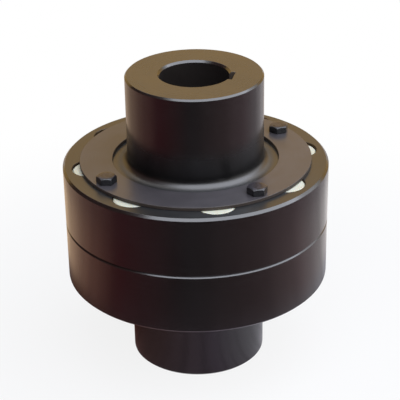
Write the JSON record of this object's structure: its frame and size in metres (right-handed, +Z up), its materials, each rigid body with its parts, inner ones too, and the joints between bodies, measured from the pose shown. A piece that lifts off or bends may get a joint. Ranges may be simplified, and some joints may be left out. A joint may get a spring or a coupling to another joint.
{
  "type": "elastic pin coupling",
  "caption": "Flanged shaft coupling of two turned steel halves joined by nylon pins, with ring plates that keep the pins in and keyed bores for the shafts.",
  "frame": {"origin": "centre of the lower hub's end face, where the coupling stands", "axes": "+Z up along the shaft axis; +X from the axis through the keyways"},
  "size_m": [0.195, 0.195, 0.224],
  "materials": {
    "blackened_steel": "turned, blackened and oiled, satin",
    "plate_steel": "cut sheet, blackened, satin",
    "bolt_steel": "forged, black oxide",
    "nylon": "turned cast nylon, cream white"
  },
  "bodies": {
    "root": {"lower_half_coupling": "blackened_steel", "upper_half_coupling": "blackened_steel", "lower_retaining_plate": "plate_steel", "upper_retaining_plate": "plate_steel", "pin_1": "nylon", "pin_2": "nylon", "pin_3": "nylon", "pin_4": "nylon", "pin_5": "nylon", "pin_6": "nylon", "pin_7": "nylon", "pin_8": "nylon", "lower_plate_bolts": "bolt_steel", "upper_plate_bolts": "bolt_steel"}
  },
  "joints": []
}
